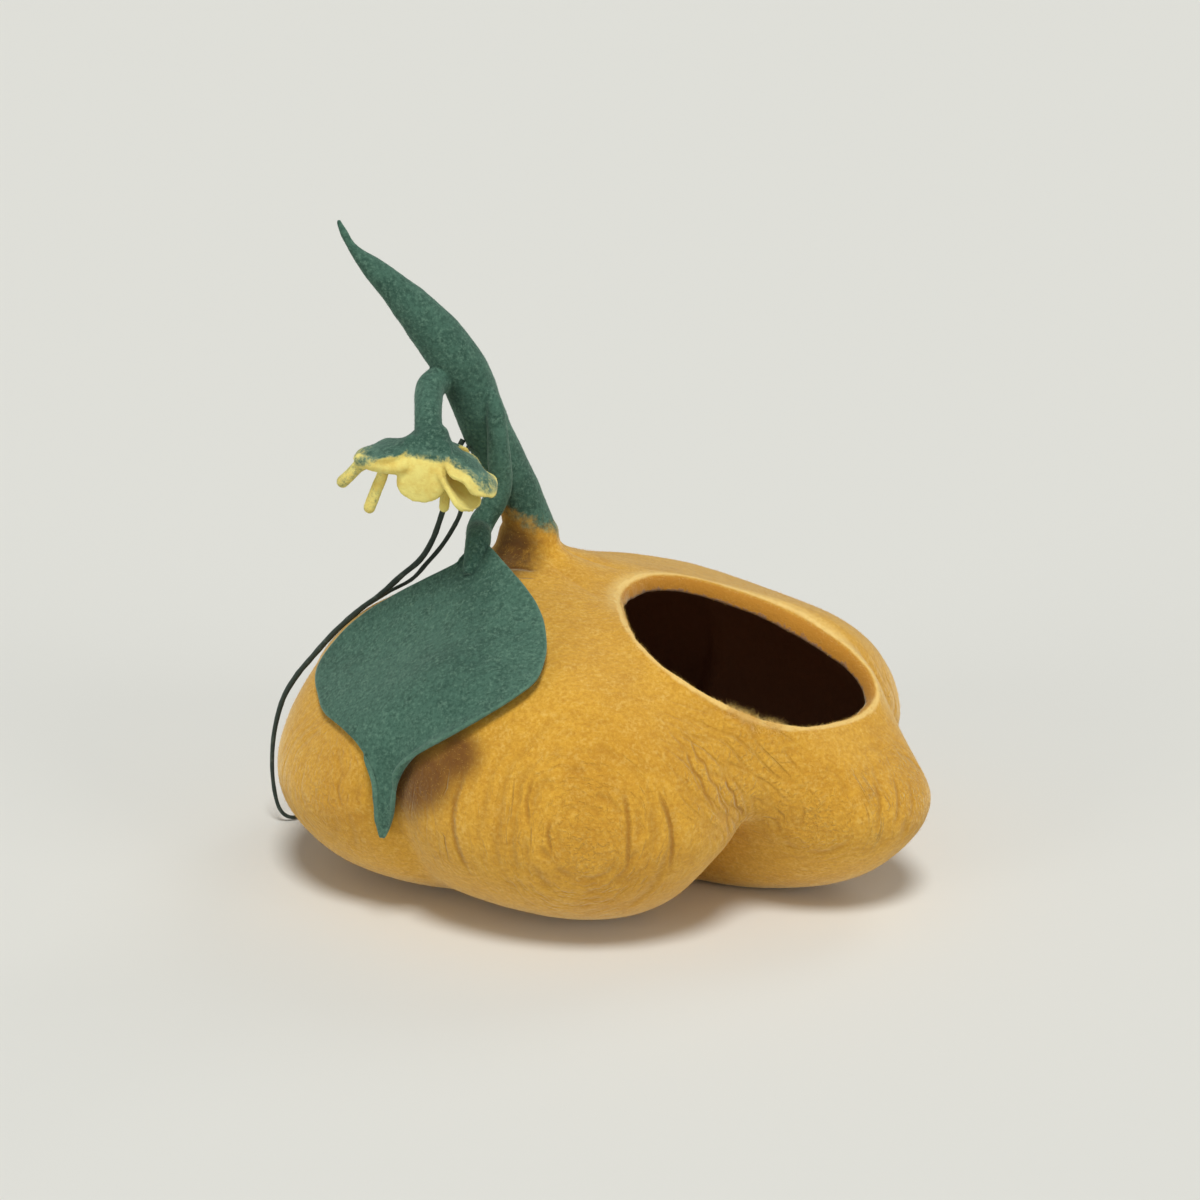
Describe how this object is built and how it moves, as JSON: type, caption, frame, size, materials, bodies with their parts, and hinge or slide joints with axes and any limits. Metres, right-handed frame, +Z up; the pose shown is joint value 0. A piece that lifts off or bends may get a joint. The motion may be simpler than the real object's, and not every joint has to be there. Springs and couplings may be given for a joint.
{
  "type": "felt cat cave",
  "caption": "Hollow felt gourd for a cat to sleep in, with a wide mouth in its upper front, a curved stem, a hanging flower, a draped leaf and thin tendrils.",
  "frame": {"origin": "middle of the flat underside, on the floor", "axes": "+Z up, -Y towards the front, +X to the right as seen from the front, towards the mouth"},
  "size_m": [0.5223, 0.4452, 0.5059],
  "materials": {
    "felt_mustard": "matt wet-felted wool, mustard outside and dark brown inside",
    "felt_green": "matt wet-felted wool, mottled green",
    "felt_petal": "matt felt, pale yellow, green on the outer side of the petals",
    "felt_tendril": "matt twisted felt cord, dark green"
  },
  "bodies": {
    "root": {"cave_shell": "felt_mustard", "stem": "felt_green", "leaf": "felt_green", "flower_calyx": "felt_green", "petal_left": "felt_petal", "petal_front": "felt_petal", "petal_right": "felt_petal", "petal_back": "felt_petal", "petal_right_under": "felt_petal", "finger_left": "felt_petal", "finger_middle": "felt_petal", "finger_right": "felt_petal", "tendril_long": "felt_tendril", "tendril_short": "felt_tendril"}
  },
  "joints": []
}
